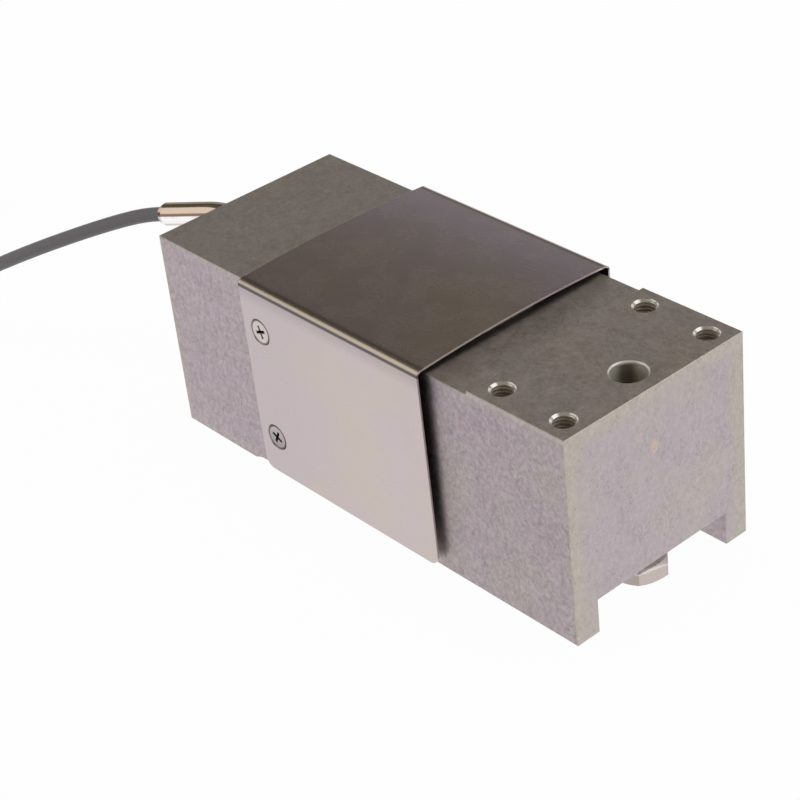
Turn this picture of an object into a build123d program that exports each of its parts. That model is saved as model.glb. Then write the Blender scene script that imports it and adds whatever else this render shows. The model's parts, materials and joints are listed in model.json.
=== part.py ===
from build123d import *
import math
import os

# Single point load cell: a machined aluminium bending beam with a folded sheet cover,
# an overload stop bolt and a shielded cable.
# Millimetres. +X runs from the cable end, which is bolted down, to the loaded end. +Z is up.
# The origin is at the middle of the base, and z = 0 is the face that is bolted down.

# Block
block_length = 191.0
block_width = 75.0
block_height = 72.0
pad_rise = 1.5
pad_length = 40.1
upper_step_radius = 1.0
lower_pad_length = 43.0
lower_cutter_radius = 12.5
edge_break = 0.2

# Flexure, cut right through the block from side to side
flexure_web = 7.0
flexure_radius = 11.0
flexure_spacing = 46.0
flexure_bridge = 14.0

# Threaded holes for the base plate and for the platform
thread_drill_radius = 3.4
thread_chamfer_radius = 4.2
thread_depth = 22.0
hole_spacing_x = 25.0
hole_spacing_y = 60.0
hole_end_distance = 7.5
drill_tip_angle = 118.0

# Overload stop
stop_end_distance = 10.8
stop_relief_radius = 5.75
stop_relief_depth = 32.0
stop_chamfer = 0.5
stop_thread_radius = 6.0
stop_bolt_end = 4.0
stop_head_flats = 18.0
stop_head_height = 6.0
stop_head_turn = 14.5
stop_head_above_under = 2.0
stop_face_share = 0.97
stop_head_bevel = 30.0
stop_point = 1.0
slot_depth = 12.2
slot_leg = 9.1

# Cover: a folded sheet with a slightly crowned top, whose sides toe in a little
sheet = 0.6
cover_before_middle = 48.0
cover_length = 85.7
cover_top_gap = 1.25
cover_crown = 1.4
cover_side_gap = 2.8
cover_foot_gap = 2.2
cover_foot_rise = 1.8
cover_fold_radius = 2.1
cover_corner_radius = 4.0

# Cover screws, countersunk in pressed dimples
screw_from_cover_end = 8.2
screw_spacing = 41.0
screw_head_radius = 4.4
screw_rim = 0.3
screw_shank_radius = 2.5
screw_length = 12.0
screw_sink = 0.1
screw_seat_radius = screw_head_radius + screw_rim + screw_sink
fold_back = sheet * math.sqrt(2)
screw_hole_radius = 2.8
recess_span = 4.8
recess_width = 1.1
recess_depth = 1.9
recess_taper = 12.0
recess_turns = (20.0, -25.0, 62.0, 8.0)
screw_point = 0.4
screw_hole_spare = 2.0
dimple_clearance = 1.0

# Seal between cover and block
seal_width = 13.4
seal_setback = 0.4

# Strain gauges in shallow pockets over the thin sections
pocket_depth = 1.5
pocket_length = 27.0
pocket_width = 24.0
pocket_radius = 3.0
pocket_shift = 1.5
gauge_length = 11.0
gauge_width = 8.0
gauge_thick = 0.15
tab_length = 1.6
tab_width = 2.2
tab_height = 0.35
tab_inset = 0.4
wire_hole_radius = 1.5
wire_hole_x = 12.0
fine_wire_radius = 0.4
fine_wire_spacing = 1.3

# Compensation board in the cavity, on a folded bracket
board_length = 48.0
board_width = 28.0
board_thick = 1.6
board_height = 37.5
bracket_sheet = 1.2
bracket_width = 22.0
bracket_reach = 14.0
bracket_drop = 13.0
bracket_bend_radius = 0.6
board_gap = 0.8
small_screw_radius = 1.25
small_screw_head_radius = 2.75
small_screw_head = 2.0
small_screw_length = 7.0
small_screw_pitch = 13.0
small_screw_from_edge = 1.5
small_screw_hole_spare = 0.2
small_screw_chamfer = 0.3
small_screw_rim_share = 0.6
small_screw_crown_share = 0.7
small_screw_slot = 0.7
small_screw_slot_depth = 0.6
resistor_length = 3.2
resistor_width = 1.6
resistor_height = 0.6
resistor_count = 5
resistor_pitch = 4.2

# Cable outlet
outlet_height = 60.4
cable_radius = 2.6
cable_clearance = 0.1
gland_thread_radius = 4.0
gland_thread_length = 9.0
gland_flats = 12.0
gland_hexagon = 5.0
gland_socket = 3.0
gland_chamfer = 0.5
gland_bevel = 0.8
gland_bevel_height = 0.6
outlet_spare = 1.0
washer_thick = 1.0
washer_radius = 6.4
sleeve_radius = 4.1
sleeve_mouth_radial = 1.1
sleeve_mouth_axial = 1.9
tail_into_cavity = 6.0
supply_wire_reach = 6.0
lead_radius = 0.5
lead_spacing = 1.25

# Cable route, chosen by hand, with x measured from the cable end's face: first the bent
# metal sleeve, then the free cable down to the table
sleeve_bend_out = 16.1
sleeve_bend_radius = 28.0
route_points = (
    (-39.8, -10.0, 56.2),
    (-45.725, -12.5, 55.15),
    (-56.1, -18.8, 51.5),
    (-71.0, -28.2, 45.0),
    (-89.5, -39.8, 36.0),
    (-109.0, -50.2, 25.2),
    (-129.5, -59.4, 15.2),
    (-150.0, -67.0, 8.0),
    (-169.2, -72.4, 4.0),
    (-186.4, -76.0, 2.6),
    (-201.6, -78.5, 2.6),
)

# Coil of the spare cable
coil_turns_across = 3
coil_layers = 3
coil_diameters = 12
coil_lift = 1.1
coil_gap = 0.1
coil_rounding = 0.9
tie_width = 3.0
tie_thick = 1.0
tie_clearance = 0.1
tie_angles = (115.0, 305.0)

# Stripped end, lying on top of the coil
end_from_middle = 27.5
end_angle = 200.0
end_jacket = 6.0
shrink_radius = 3.0
shrink_length = 7.0
end_leads = ("red", "black", "green", "white", "shield")
end_lead_radius = 0.55
end_lead_pitch = 1.15
end_lead_stagger = 0.6
end_lead_fan = 2.6
end_lead_length = 10.0
end_lead_bend_shares = (0.2, 0.6)
bare_tip_radius = 0.35
bare_tip_length = 3.0

# Clearance of a shank in its tapped hole, and how far a cutting tool runs on past a face
thread_clearance = 0.05
overcut = 1.0

# Places worked out from the sizes above
x_fixed = -block_length / 2
x_loaded = block_length / 2
z_under = pad_rise
z_top = pad_rise + block_height
z_pad = z_top + pad_rise
x_cover = -cover_before_middle
x_cover_end = x_cover + cover_length
z_cover = z_top + cover_top_gap + sheet
z_cover_foot = z_under + cover_foot_rise
half_cover_top = block_width / 2 + cover_side_gap + sheet
half_cover_foot = block_width / 2 + cover_foot_gap + sheet
half_cavity = flexure_spacing / 2 + flexure_radius
x_stop = x_loaded - stop_end_distance
z_slot = z_under + slot_depth
pocket_x = flexure_spacing / 2 - pocket_shift
hole_centre_distance = hole_end_distance + hole_spacing_x / 2
x_gland = x_fixed - washer_thick
x_gland_nose = x_gland - gland_hexagon
z_board = board_height + board_thick
x_board = -half_cavity + bracket_sheet + board_gap
x_tail = -half_cavity + tail_into_cavity
x_wires = x_tail + supply_wire_reach
gauge_places = {"fixed": -1, "loaded": 1}
cable_route = [(x_fixed + x, y, z) for x, y, z in route_points]
sleeve_mouth = cable_route[0]
sleeve_bend = (x_fixed - sleeve_bend_out, 0, outlet_height)


def turned(*points):
    """Solid of revolution about Z from a closed outline of (radius, height) points."""
    outline = make_face(Polyline(*points, close=True))
    return revolve(Plane.XZ * outline, axis=Axis.Z)


def side_prism(outline, half_width):
    """Extrude an outline drawn in (x, z) to both sides of the middle plane."""
    return extrude(Plane.XZ * outline, amount=half_width, both=True)


def block_between(low, high):
    """Box between two opposite corners."""
    size = [b - a for a, b in zip(low, high)]
    middle = [(a + b) / 2 for a, b in zip(low, high)]
    return Pos(*middle) * Box(*size)


def corner_radius(before, corner, after):
    """Largest tangent arc that two runs share out, with 0.45 of the shorter one each side."""
    run_in = Vector(*corner) - Vector(*before)
    run_out = Vector(*after) - Vector(*corner)
    turn = math.radians(run_in.get_angle(run_out))
    return 0.45 * min(run_in.length, run_out.length) / math.tan(turn / 2)


def rounded_path(points):
    """Straight runs through the points, joined by tangent arcs."""
    radii = [corner_radius(*points[i - 1 : i + 2]) for i in range(1, len(points) - 1)]
    return FilletPolyline(*points, radius=radii), radii


def rod(path, radius):
    """Round rod along a path."""
    return sweep((path ^ 0) * Circle(radius), path=path)


def tapped_hole(radius, depth, mouth_radius):
    """Cutting tool for a blind tapped hole, with its mouth at z = 0 and opening to +Z."""
    tip = radius / math.tan(math.radians(drill_tip_angle / 2))
    mouth = mouth_radius - radius
    return turned(
        (0, -depth - tip),
        (radius, -depth),
        (radius, -mouth),
        (mouth_radius, 0),
        (mouth_radius, overcut),
        (0, overcut),
    )


def pan_screw():
    """Small pan head screw, with the underside of its head at z = 0 and its shank to -Z."""
    head = turned(
        (0, 0),
        (small_screw_head_radius, 0),
        (small_screw_head_radius, small_screw_head * small_screw_rim_share),
        (small_screw_head_radius * small_screw_crown_share, small_screw_head),
        (0, small_screw_head),
    )
    shank = Pos(0, 0, -small_screw_length / 2) * Cylinder(small_screw_radius, small_screw_length)
    slot_box = Box(2 * small_screw_head_radius, small_screw_slot, 2 * small_screw_slot_depth)
    slot = Pos(0, 0, small_screw_head) * slot_box
    return head + shank - slot


def hole_corners():
    """Corners of the pattern of four holes, about its own middle."""
    return [(sx * hole_spacing_x / 2, sy * hole_spacing_y / 2) for sx in (-1, 1) for sy in (-1, 1)]


def screw_planes():
    """Planes on the cover's sides, one for each screw, facing out."""
    planes = {}
    lean = math.atan2(half_cover_top - half_cover_foot, z_cover - z_cover_foot)
    middle = (z_cover_foot + z_top) / 2
    for side, sign in (("near", -1), ("far", 1)):
        for level, lift in (("upper", 1), ("lower", -1)):
            z = middle + lift * screw_spacing / 2
            half = half_cover_foot + (z - z_cover_foot) * math.tan(lean)
            out = (0, sign * math.cos(lean), -math.sin(lean))
            origin = (x_cover + screw_from_cover_end, sign * half, z)
            planes[f"{side}_{level}"] = Plane(origin=origin, x_dir=(1, 0, 0), z_dir=out)
    return planes


def cover_outline(inset, foot):
    """Closed outline of the cover in (y, z), moved in by the given distance."""
    top = half_cover_top - inset
    bottom = half_cover_foot - inset
    height = z_cover - inset
    crown = ThreePointArc((-top, height), (0, height + cover_crown), (top, height))
    sides = Polyline((top, height), (bottom, foot), (-bottom, foot), (-top, height))
    outline = make_face(crown + sides)
    return fillet(outline.vertices().group_by(Axis.Y)[-1], cover_fold_radius - inset)


def beam_outline():
    """Side view of the block: both ends have a raised pad, one below and one above."""
    corners = [
        (x_fixed, 0),
        (x_fixed + lower_pad_length, 0),
        (x_fixed + lower_pad_length, z_under),
        (x_loaded, z_under),
        (x_loaded, z_pad),
        (x_loaded - pad_length, z_pad),
        (x_loaded - pad_length, z_top),
        (x_fixed, z_top),
    ]
    radii = [0, 0, 0, 0, 0, 0, upper_step_radius, 0]
    outline = make_face(FilletPolyline(*corners, radius=radii, close=True))
    cutter = Pos(x_fixed + lower_pad_length, z_under - lower_cutter_radius) * Circle(lower_cutter_radius)
    return outline - cutter


def flexure_outline():
    """Side view of the cavity: four round lobes leave four thin sections in the block."""
    lobe_up = z_top - pocket_depth - flexure_web - flexure_radius
    lobe_down = z_under + pocket_depth + flexure_web + flexure_radius
    x_lobe = flexure_spacing / 2
    ceiling = z_top - flexure_bridge
    floor = z_under + flexure_bridge
    middle = Pos(0, (lobe_up + lobe_down) / 2)
    outline = middle * Rectangle(2 * half_cavity, lobe_up - lobe_down)
    outline += Pos(0, (ceiling + floor) / 2) * Rectangle(2 * x_lobe, ceiling - floor)
    for x in (-x_lobe, x_lobe):
        for z in (lobe_down, lobe_up):
            outline += Pos(x, z) * Circle(flexure_radius)
    return outline


def gauge_pocket():
    """Rounded pocket with its mouth at z = 0, cut to -Z."""
    outline = RectangleRounded(pocket_length, pocket_width, pocket_radius)
    return extrude(outline, amount=-pocket_depth)


def gauge_seats():
    """Planes at the mouths of the four pockets, facing out of the block."""
    seats = {}
    for end, sign in gauge_places.items():
        for level, z, up in (("top", z_top, 1), ("bottom", z_under, -1)):
            origin = (sign * pocket_x, 0, z)
            seats[f"{level}_{end}"] = Plane(origin=origin, x_dir=(sign, 0, 0), z_dir=(0, 0, up))
    return seats


def make_beam():
    """The machined block."""
    beam = side_prism(beam_outline(), block_width / 2)
    beam = chamfer(beam.faces().filter_by(Axis.Y).edges(), edge_break)
    end_edges = beam.edges().filter_by(Axis.Y).filter_by(lambda e: abs(abs(e.center().X) - x_loaded) < 0.01)
    beam = chamfer(end_edges, edge_break)
    beam -= side_prism(flexure_outline(), block_width)

    slot_half = block_width / 2 - slot_leg
    slot_end = x_loaded - pad_length
    beam -= block_between(
        (slot_end, -slot_half, z_under - overcut), (x_loaded + overcut, slot_half, z_slot)
    )

    tool = tapped_hole(thread_drill_radius, thread_depth, thread_chamfer_radius)
    for x, y in hole_corners():
        beam -= Pos(x_loaded - hole_centre_distance + x, y, z_pad) * tool
        beam -= Pos(x_fixed + hole_centre_distance + x, y, 0) * Rot(180, 0, 0) * tool

    relief_floor = z_pad - stop_relief_depth
    thread = stop_thread_radius + thread_clearance
    mouth = stop_relief_radius + stop_chamfer
    beam -= Pos(x_stop, 0, 0) * turned(
        (0, z_slot - overcut),
        (thread, z_slot - overcut),
        (thread, relief_floor - stop_chamfer),
        (stop_relief_radius, relief_floor),
        (stop_relief_radius, z_pad - stop_chamfer),
        (mouth, z_pad),
        (mouth, z_pad + overcut),
        (0, z_pad + overcut),
    )

    dimple_back = screw_sink + (screw_head_radius - screw_shank_radius) + screw_rim
    hole = screw_shank_radius + thread_clearance
    seat = screw_hole_radius + fold_back
    floor = dimple_back + dimple_clearance
    drilled = turned(
        (0, -screw_length - screw_hole_spare),
        (hole, -screw_length - screw_hole_spare),
        (hole, -floor - (seat - hole) / 2),
        (seat, -floor),
        (seat + floor + dimple_clearance, dimple_clearance),
        (0, dimple_clearance),
    )
    for plane in screw_planes().values():
        beam -= plane * drilled

    for plane in gauge_seats().values():
        beam -= plane * gauge_pocket()
        wire_hole = Cylinder(wire_hole_radius, flexure_bridge)
        beam -= plane * Pos(wire_hole_x - pocket_x, 0, -flexure_bridge / 2) * wire_hole

    outlet = Plane(origin=(x_fixed, 0, outlet_height), x_dir=(0, 1, 0), z_dir=(-1, 0, 0))
    channel_end = x_fixed - x_wires - cable_radius
    thread = gland_thread_radius + thread_clearance
    beam -= outlet * turned(
        (0, channel_end),
        (cable_radius + 3 * cable_clearance, channel_end),
        (cable_radius + 3 * cable_clearance, -gland_thread_length - outlet_spare),
        (thread, -gland_thread_length - outlet_spare),
        (thread, -gland_chamfer),
        (thread + gland_chamfer, 0),
        (thread + gland_chamfer, overcut),
        (0, overcut),
    )
    half_well = cable_radius
    beam -= block_between(
        (x_wires - half_well, -half_well, z_board), (x_wires + half_well, half_well, outlet_height)
    )

    thread = small_screw_radius + thread_clearance
    tool = tapped_hole(thread, small_screw_length, small_screw_radius + small_screw_chamfer)
    for y in (-small_screw_pitch / 2, small_screw_pitch / 2):
        beam -= Pos(-half_cavity, y, bracket_screw_height()) * Rot(0, 90, 0) * tool
    return beam


def bracket_screw_height():
    """Height of the screws that hold the bracket to the cavity's wall."""
    return board_height - bracket_drop + small_screw_head_radius + small_screw_from_edge


def make_cover():
    """Folded sheet over the top and both sides, with four pressed dimples for its screws."""
    blank = cover_outline(0, z_cover_foot) - cover_outline(sheet, z_cover_foot - overcut)
    cover = extrude(Plane.YZ.offset(x_cover) * blank, amount=cover_length)
    foot_edges = cover.edges().filter_by(Axis.Y, tolerance=2).group_by(Axis.Z)[0]
    cover = fillet(foot_edges, cover_corner_radius)
    rim = screw_seat_radius
    shank = screw_hole_radius
    depth = rim - shank
    flange = rim + fold_back
    dimple = turned(
        (rim, 0),
        (shank, -depth),
        (shank, -depth - fold_back),
        (flange - sheet, -sheet),
        (flange, -sheet),
        (flange, 0),
    )
    for plane in screw_planes().values():
        cover -= plane * Cylinder(flange, 3 * sheet)
        cover += plane * dimple
    return cover


def make_seal():
    """Rubber strip that fills the gap between block and cover at the screwed end."""
    inside = extrude(
        Plane.YZ.offset(x_cover + seal_setback) * cover_outline(sheet, z_cover_foot), amount=seal_width
    )
    seal = inside - block_between(
        (x_fixed, -block_width / 2, z_under - overcut), (x_loaded, block_width / 2, z_top)
    )
    clear = screw_head_radius + screw_rim + screw_sink + fold_back
    for plane in screw_planes().values():
        seal -= plane * Cylinder(clear, screw_length)
    return seal


def make_cover_screw(turn):
    """Countersunk screw with a cross recess, its head's face at z = 0."""
    cone_end = -screw_rim - (screw_head_radius - screw_shank_radius)
    body = turned(
        (0, 0),
        (screw_head_radius, 0),
        (screw_head_radius, -screw_rim),
        (screw_shank_radius, cone_end),
        (screw_shank_radius, screw_point - screw_length),
        (screw_shank_radius - screw_point, -screw_length),
        (0, -screw_length),
    )
    cross = Rectangle(recess_span, recess_width) + Rectangle(recess_width, recess_span)
    recess = extrude(Plane.XY * cross, amount=-recess_depth, taper=recess_taper)
    return Rot(0, 0, turn) * (body - recess)


def make_stop_bolt():
    """Hexagon bolt whose head hangs in the slot under the loaded end."""
    head_low = z_under + stop_head_above_under
    head_high = head_low + stop_head_height
    corner = stop_head_flats / math.sqrt(3)
    flat = RegularPolygon(stop_head_flats / 2, 6, major_radius=False)
    hexagon = extrude(Rot(0, 0, stop_head_turn) * flat, amount=stop_head_height)
    face_radius = stop_head_flats / 2 * stop_face_share
    slope = (corner - face_radius) * math.tan(math.radians(stop_head_bevel))
    envelope = turned(
        (0, 0),
        (face_radius, 0),
        (corner, slope),
        (corner, stop_head_height - slope),
        (face_radius, stop_head_height),
        (0, stop_head_height),
    )
    tip = z_pad - stop_relief_depth - stop_bolt_end
    shank = turned(
        (0, head_high),
        (stop_thread_radius, head_high),
        (stop_thread_radius, tip - stop_point),
        (stop_thread_radius - stop_point, tip),
        (0, tip),
    )
    return Pos(x_stop, 0, 0) * (Pos(0, 0, head_low) * (hexagon & envelope) + shank)


def make_gauge():
    """Foil gauge on the pocket's floor, with two solder tabs towards the wire hole."""
    gauge_x = flexure_spacing / 2 - pocket_x
    film = Pos(gauge_x, 0, -pocket_depth + gauge_thick / 2) * Box(gauge_length, gauge_width, gauge_thick)
    tab_x = gauge_x - gauge_length / 2 + tab_length / 2 + tab_inset
    for y in (-gauge_width / 4, gauge_width / 4):
        tab = Box(tab_length, tab_width, tab_height)
        film += Pos(tab_x, y, -pocket_depth + gauge_thick + tab_height / 2) * tab
    return film


def make_bracket():
    """Folded bracket screwed to the fixed wall of the cavity, so that it bridges no flexure."""
    wall = -half_cavity
    corners = [
        (wall, board_height),
        (wall + bracket_reach, board_height),
        (wall + bracket_reach, board_height - bracket_sheet),
        (wall + bracket_sheet, board_height - bracket_sheet),
        (wall + bracket_sheet, board_height - bracket_drop),
        (wall, board_height - bracket_drop),
    ]
    radii = [bracket_bend_radius + bracket_sheet, 0, 0, bracket_bend_radius, 0, 0]
    bracket = side_prism(make_face(FilletPolyline(*corners, radius=radii, close=True)), bracket_width / 2)
    for y in (-small_screw_pitch / 2, small_screw_pitch / 2):
        through = Cylinder(small_screw_radius + small_screw_hole_spare, 3 * bracket_sheet)
        bracket -= Pos(wall, y, bracket_screw_height()) * Rot(0, 90, 0) * through
        bracket -= Pos(board_screw_x(), y, board_height) * Cylinder(
            small_screw_radius + thread_clearance, 3 * bracket_sheet
        )
    return bracket


def board_screw_x():
    """Place of the two screws that hold the board on its bracket."""
    return -half_cavity + bracket_reach - small_screw_head_radius - small_screw_from_edge


def make_board():
    """Compensation board."""
    board = block_between(
        (x_board, -board_width / 2, board_height), (x_board + board_length, board_width / 2, z_board)
    )
    for y in (-small_screw_pitch / 2, small_screw_pitch / 2):
        through = Cylinder(small_screw_radius + small_screw_hole_spare, 3 * board_thick)
        board -= Pos(board_screw_x(), y, z_board) * through
    return board


def make_resistors():
    """Row of chip resistors on the board."""
    start = -(resistor_count - 1) * resistor_pitch / 2
    chip = Box(resistor_length, resistor_width, resistor_height)
    place = z_board + resistor_height / 2
    return Compound([Pos(0, start + i * resistor_pitch, place) * chip for i in range(resistor_count)])


def make_bridge_wires():
    """Pairs of fine wires from each pocket, down or up its hole to the board."""
    wires = []
    for x in (-wire_hole_x, wire_hole_x):
        for y in (-fine_wire_spacing / 2, fine_wire_spacing / 2):
            for low, high in ((z_board, z_top - pocket_depth), (z_under + pocket_depth, board_height)):
                length = high - low
                wires.append(Pos(x, y, (low + high) / 2) * Cylinder(fine_wire_radius, length))
    return Compound(wires)


def make_supply_wires():
    """Four wires from the cable's end in the cavity down to the board."""
    wires = []
    for i in range(4):
        y = (i - 1.5) * lead_spacing
        points = [(x_tail, y, outlet_height), (x_wires, y, outlet_height), (x_wires, y, z_board)]
        path, _ = rounded_path(points)
        wires.append(rod(path, lead_radius))
    return Compound(wires)


def make_gland():
    """Hexagon gland screwed into the end face, with a socket for the sleeve."""
    bore = cable_radius + cable_clearance
    socket = sleeve_radius + cable_clearance / 2
    corner = gland_flats / math.sqrt(3)
    body = turned(
        (bore, -gland_thread_length - washer_thick),
        (gland_thread_radius - gland_chamfer, -gland_thread_length - washer_thick),
        (gland_thread_radius, gland_chamfer - gland_thread_length - washer_thick),
        (gland_thread_radius, 0),
        (corner, 0),
        (corner, gland_hexagon - gland_bevel_height),
        (corner - gland_bevel, gland_hexagon),
        (socket, gland_hexagon),
        (socket, gland_hexagon - gland_socket),
        (bore, gland_hexagon - gland_socket),
    )
    prism = extrude(RegularPolygon(gland_flats / 2, 6, major_radius=False), amount=gland_hexagon)
    shank = Pos(0, 0, -gland_thread_length / 2 - washer_thick) * Cylinder(
        gland_thread_radius, gland_thread_length + 2 * washer_thick
    )
    place = Plane(origin=(x_gland, 0, outlet_height), x_dir=(0, 1, 0), z_dir=(-1, 0, 0))
    return place * (body & (prism + shank))


def make_washer():
    """Sealing washer between gland and end face."""
    hole = Cylinder(gland_thread_radius + cable_clearance, washer_thick)
    ring = Cylinder(washer_radius, washer_thick) - hole
    return Pos(x_fixed - washer_thick / 2, 0, outlet_height) * Rot(0, 90, 0) * ring


def outlet_path(start_x):
    """Line of the cable from a place on the outlet's axis to the mouth of the sleeve."""
    return FilletPolyline((start_x, 0, outlet_height), sleeve_bend, sleeve_mouth, radius=sleeve_bend_radius)


def make_sleeve():
    """Bent metal sleeve around the cable, with a bevelled mouth."""
    path = outlet_path(x_gland_nose + gland_socket)
    tube = rod(path, sleeve_radius) - rod(path, cable_radius + cable_clearance)
    mouth = tube.faces().sort_by(lambda face: (face.center() - Vector(*sleeve_mouth)).length)[0]
    rim = mouth.edges().sort_by(lambda edge: edge.length)[-1]
    return chamfer(rim, sleeve_mouth_radial, sleeve_mouth_axial, reference=mouth)


def make_tail():
    """Cable inside the sleeve and the block, ending in the cavity."""
    return rod(outlet_path(x_tail), cable_radius)


def coil_centre():
    """Middle of the coil, at the height of the cable: its last run touches the outermost turn."""
    end = Vector(*cable_route[-1])
    run = end - Vector(*cable_route[-2])
    right = Vector(run.Y, -run.X, 0).normalized()
    reach = coil_mid_radius() + (coil_turns_across + 1) * cable_radius + coil_gap
    return end + right * reach


def coil_mid_radius():
    """Radius at the middle of the coil's turns."""
    return coil_diameters * cable_radius


def make_coil():
    """Closed ring with the outer shape of the wound coil."""
    width = 2 * cable_radius * coil_turns_across
    section = RectangleRounded(width, 2 * cable_radius * coil_layers, cable_radius * coil_rounding)
    height = coil_lift + cable_radius * coil_layers
    ring = revolve(Plane.XZ * (Pos(coil_mid_radius(), height) * section), axis=Axis.Z)
    centre = coil_centre()
    return Pos(centre.X, centre.Y, 0) * ring


def make_tie(angle):
    """Band around the coil's section."""
    width = 2 * cable_radius * coil_turns_across + 2 * tie_clearance
    height = 2 * cable_radius * coil_layers + 2 * tie_clearance
    outer = RectangleRounded(width + 2 * tie_thick, height + 2 * tie_thick, cable_radius + tie_thick)
    inner = RectangleRounded(width, height, cable_radius * coil_rounding)
    band = extrude(Plane.XZ * (outer - inner), amount=tie_width / 2, both=True)
    middle = coil_lift + cable_radius * coil_layers
    centre = coil_centre()
    return Pos(centre.X, centre.Y, 0) * Rot(0, 0, angle) * Pos(coil_mid_radius(), 0, middle) * band


def end_plane():
    """Plane on top of the coil, with X along the stripped end and Y away from the coil's middle."""
    angle = math.radians(end_angle)
    out = Vector(math.cos(angle), math.sin(angle), 0)
    top = Vector(0, 0, coil_lift + 2 * cable_radius * (coil_layers - 0.5))
    along = Vector(math.sin(angle), -math.cos(angle), 0)
    return Plane(origin=coil_centre() + top + out * end_from_middle, x_dir=along, z_dir=(0, 0, 1))


def end_line(start, length, radius):
    """Straight round piece along the stripped end."""
    piece = Pos(start + length / 2, 0, shrink_radius) * Rot(0, 90, 0) * Cylinder(radius, length)
    return end_plane() * piece


def lead_points(index):
    """Route of one stripped lead: out of the shrink sleeve, down to the coil and fanned out."""
    start = end_jacket + shrink_length
    rank = index - (len(end_leads) - 1) / 2
    y = rank * end_lead_pitch
    z = shrink_radius + (end_lead_stagger if index % 2 else -end_lead_stagger)
    across = rank * end_lead_fan
    low = end_lead_radius
    first, second = [start + share * end_lead_length for share in end_lead_bend_shares]
    return [
        (start, y, z),
        (first, y, z),
        (second, (y + across) / 2, low),
        (start + end_lead_length, across, low),
    ]


def make_end_lead(index):
    """Insulated lead."""
    path, _ = rounded_path(lead_points(index))
    return end_plane() * rod(path, end_lead_radius)


def make_bare_tips():
    """Tinned wire ends, one on each lead."""
    tips = []
    for index in range(len(end_leads)):
        before, last = [Vector(*p) for p in lead_points(index)[-2:]]
        way = (last - before).normalized()
        tip = Plane(origin=last, z_dir=way) * Pos(0, 0, bare_tip_length / 2) * Cylinder(
            bare_tip_radius, bare_tip_length
        )
        tips.append(end_plane() * tip)
    return Compound(tips)


os.makedirs("parts", exist_ok=True)

nodes = {
    "beam_body": make_beam(),
    "cover": make_cover(),
    "cover_seal": make_seal(),
    "stop_bolt": make_stop_bolt(),
    "board_bracket": make_bracket(),
    "circuit_board": make_board(),
    "board_resistors": make_resistors(),
    "bridge_wires": make_bridge_wires(),
    "supply_wires": make_supply_wires(),
    "cable_gland": make_gland(),
    "gland_washer": make_washer(),
    "cable_sleeve": make_sleeve(),
    "cable_tail": make_tail(),
    "cable_coil": make_coil(),
    "cable_end": end_line(0, end_jacket, cable_radius),
    "end_shrink": end_line(end_jacket, shrink_length, shrink_radius),
    "lead_tips": make_bare_tips(),
}

for turn, (name, plane) in zip(recess_turns, screw_planes().items()):
    nodes[f"cover_screw_{name}"] = plane * Pos(0, 0, -screw_sink) * make_cover_screw(turn)

for name, plane in gauge_seats().items():
    gauge = make_gauge()
    nodes[f"gauge_{name}"] = plane * gauge
    nodes[f"gauge_coating_{name}"] = plane * (gauge_pocket() - gauge)

for side, y in (("near", -small_screw_pitch / 2), ("far", small_screw_pitch / 2)):
    wall_face = -half_cavity + bracket_sheet
    nodes[f"bracket_screw_{side}"] = Pos(wall_face, y, bracket_screw_height()) * Rot(0, 90, 0) * pan_screw()
    nodes[f"board_screw_{side}"] = Pos(board_screw_x(), y, z_board) * pan_screw()

for number, angle in enumerate(tie_angles, start=1):
    nodes[f"coil_tie_{number}"] = make_tie(angle)

for index, colour in enumerate(end_leads):
    nodes[f"lead_{colour}"] = make_end_lead(index)

cable_path, cable_radii = rounded_path(cable_route)
nodes["cable_run"] = rod(cable_path, cable_radius)

print("cable radii", [round(radius, 1) for radius in cable_radii])
print("cable run", round(cable_path.length, 1))
full = math.pi * cable_radius**2 * cable_path.length
print("volume against section times length", round(nodes["cable_run"].volume / full, 4))

for name, solid in nodes.items():
    export_step(solid, f"parts/{name}.step")
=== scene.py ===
import json
import math

import bmesh
import bpy
from mathutils import Euler, Matrix, Vector


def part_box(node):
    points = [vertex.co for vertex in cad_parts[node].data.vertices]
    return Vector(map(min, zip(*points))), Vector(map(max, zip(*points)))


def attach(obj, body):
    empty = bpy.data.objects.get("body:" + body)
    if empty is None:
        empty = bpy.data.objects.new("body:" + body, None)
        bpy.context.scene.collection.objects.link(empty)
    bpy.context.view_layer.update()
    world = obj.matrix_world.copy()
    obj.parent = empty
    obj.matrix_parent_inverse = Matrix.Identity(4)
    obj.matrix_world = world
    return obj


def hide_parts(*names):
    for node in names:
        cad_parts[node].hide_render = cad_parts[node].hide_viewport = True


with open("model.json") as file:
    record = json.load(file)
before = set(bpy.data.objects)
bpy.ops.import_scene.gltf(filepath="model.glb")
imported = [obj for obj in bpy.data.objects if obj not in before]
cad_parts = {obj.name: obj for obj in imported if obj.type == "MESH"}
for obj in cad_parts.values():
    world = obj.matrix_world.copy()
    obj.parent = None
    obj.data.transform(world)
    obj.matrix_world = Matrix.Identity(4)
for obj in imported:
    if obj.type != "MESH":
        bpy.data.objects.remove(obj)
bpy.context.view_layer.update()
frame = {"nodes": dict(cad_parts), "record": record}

MM = 0.001

# Camera, solved from the block's edges in the photograph
image_pixels = 800
focal_pixels = 2199.7
optical_centre = (431.02, 375.75)
camera_place = (0.46415, -0.38025, 0.42046)
camera_azimuth = 51.03
camera_elevation = 32.45
camera_roll = -6.13
camera_nearest = 0.01
sensor_width = 36.0

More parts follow.
